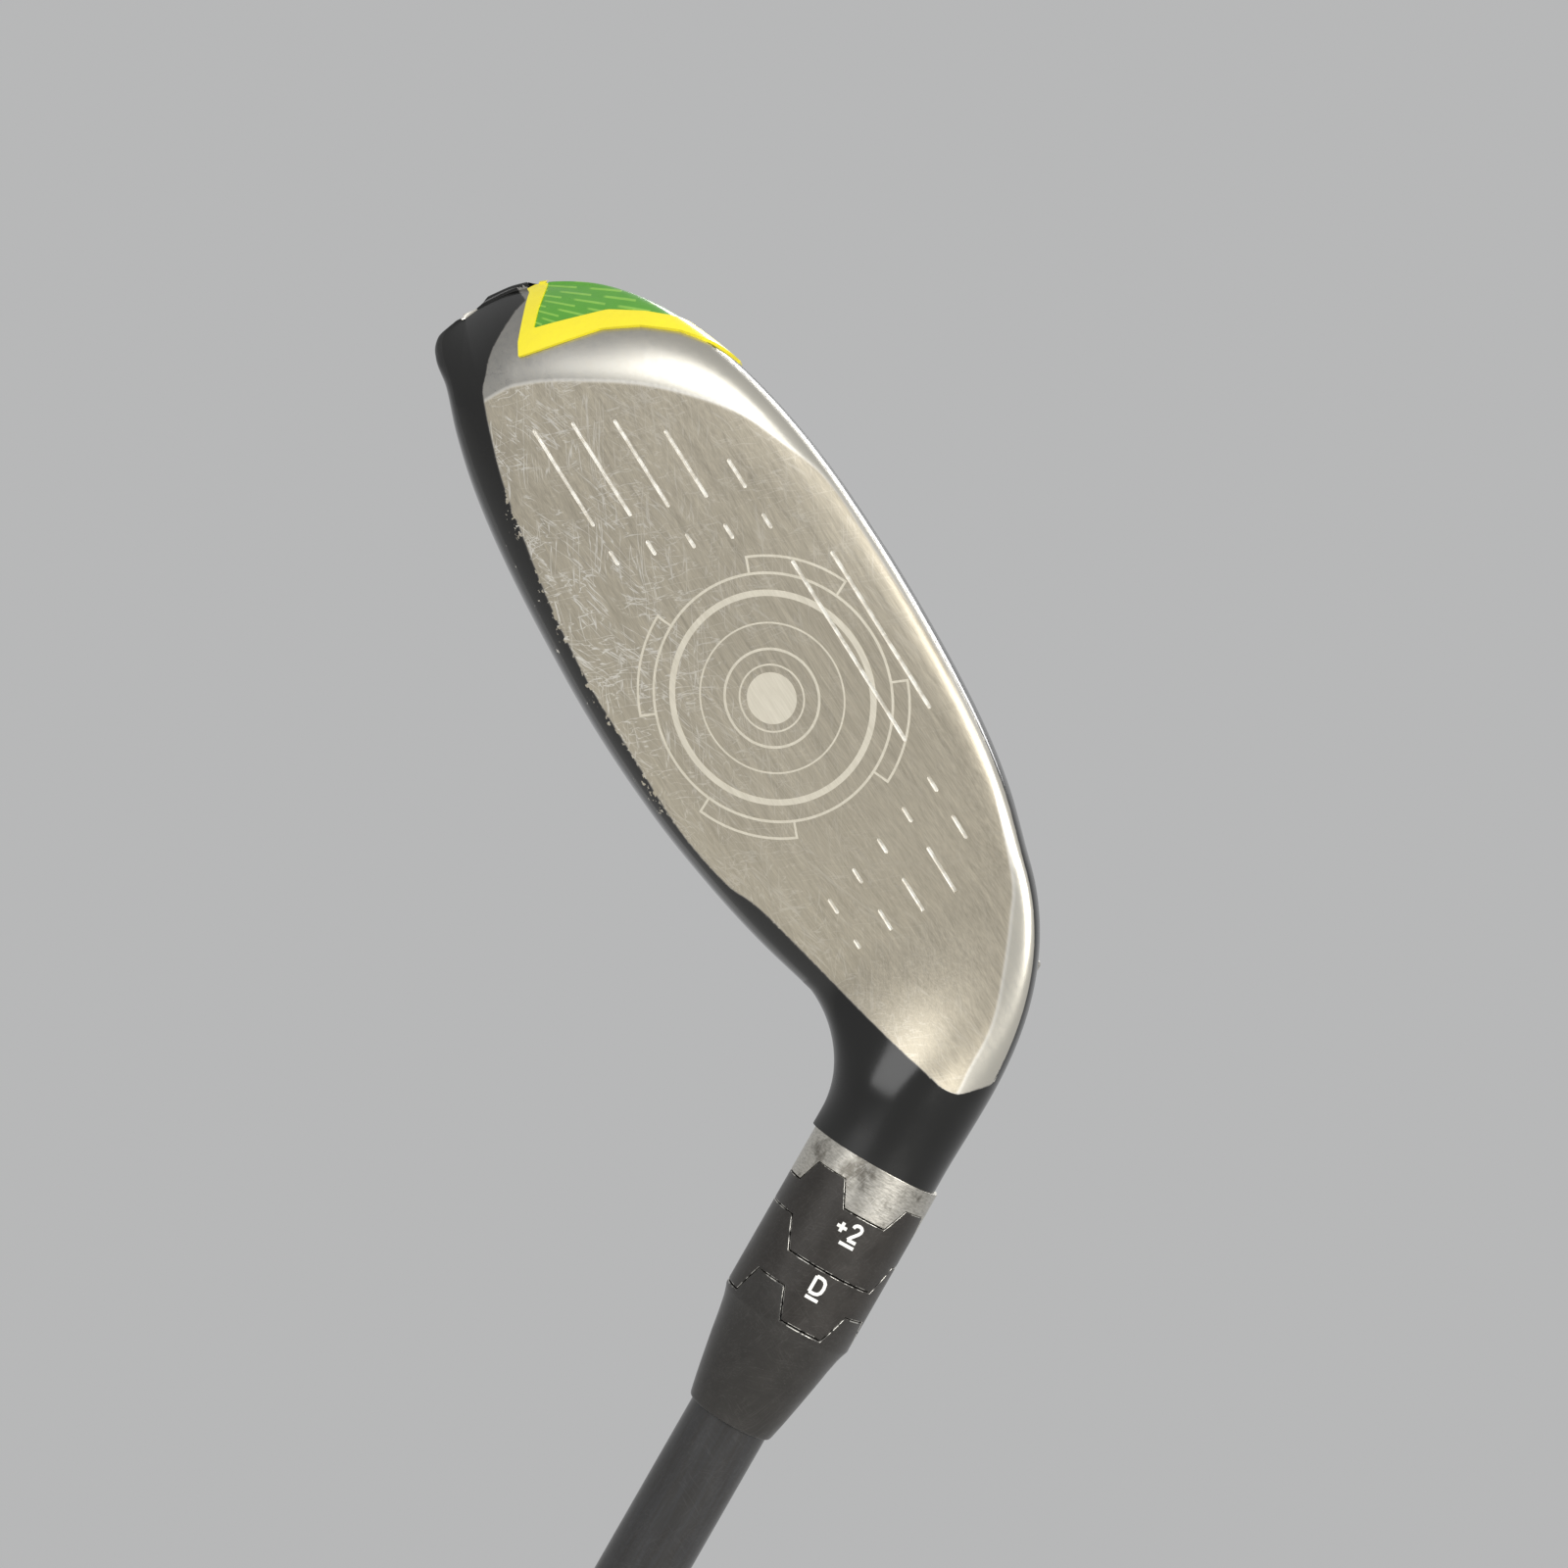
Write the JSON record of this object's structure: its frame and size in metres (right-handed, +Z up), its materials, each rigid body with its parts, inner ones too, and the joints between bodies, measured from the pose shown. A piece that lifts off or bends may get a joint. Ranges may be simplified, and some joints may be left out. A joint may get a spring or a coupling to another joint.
{
  "type": "hybrid golf club",
  "caption": "Left-handed hybrid golf club: hollow steel head with scored face, adjustable ringed hosel held by a screw, dark tapered shaft and rubber grip.",
  "frame": {"origin": "on the shaft axis in the plane of the butt cap's outer face", "axes": "+Z up the shaft from the butt to the head; the face looks towards -Y and the toe points towards -X"},
  "size_m": [0.1029, 0.061, 1.0507],
  "materials": {
    "grip_rubber": "matt moulded rubber with fine texture",
    "cap_rubber": "smooth hard rubber",
    "tape": "double-sided tape",
    "shaft": "satin dark grey composite",
    "plug": "plain",
    "sleeve": "anodised",
    "ferrule": "satin black",
    "cog": "satin black with white setting mark",
    "bare_steel": "worn bare steel",
    "body_paint": "gloss black, chipped at edges",
    "face_steel": "fine linear grain, worn",
    "crown": "gloss black composite",
    "inner_steel": "plain",
    "weight": "dense cast metal",
    "badge": "gloss green",
    "badge_rim": "gloss yellow",
    "screw": "dark plated",
    "retainer": "plain"
  },
  "bodies": {
    "club": {"shaft": "shaft", "grip": "grip_rubber", "grip_cap": "cap_rubber", "grip_tape": "tape", "tip_plug": "plug", "adapter_sleeve": "sleeve", "ferrule": "ferrule"},
    "second_cog": {"lie_cog": "cog"},
    "first_cog": {"loft_cog": "cog"},
    "head": {"head_body": "body_paint", "face_cup": "face_steel", "crown_shell": "crown", "hosel_tube": "bare_steel", "post_toe": "inner_steel", "post_heel": "inner_steel", "inner_weight": "weight", "toe_badge": "badge", "badge_rim": "badge_rim"},
    "screw": {"adapter_screw": "screw", "screw_retainer": "retainer"}
  },
  "joints": [
    {"name": "lie_lift", "type": "slide", "parent": "club", "child": "second_cog", "axis": [0, 0, 1], "range_m": [0, 0.0035]},
    {"name": "loft_lift", "type": "slide", "parent": "second_cog", "child": "first_cog", "axis": [0, 0, 1], "range_m": [0, 0.0035]},
    {"name": "head_lift", "type": "slide", "parent": "first_cog", "child": "head", "axis": [0, 0, 1], "range_m": [0, 0.003]},
    {"name": "screw_turn", "type": "hinge", "parent": "head", "child": "screw", "pos_m": [0, 0, 1], "axis": [0, 0, 1], "range_deg": [0, 4500.1]}
  ],
  "couplings": [
    {"joint": "loft_lift", "follows": "lie_lift", "ratio": 1},
    {"joint": "head_lift", "follows": "lie_lift", "ratio": 0.85714},
    {"joint": "screw_turn", "follows": "lie_lift", "rad_per_m": 22440}
  ]
}
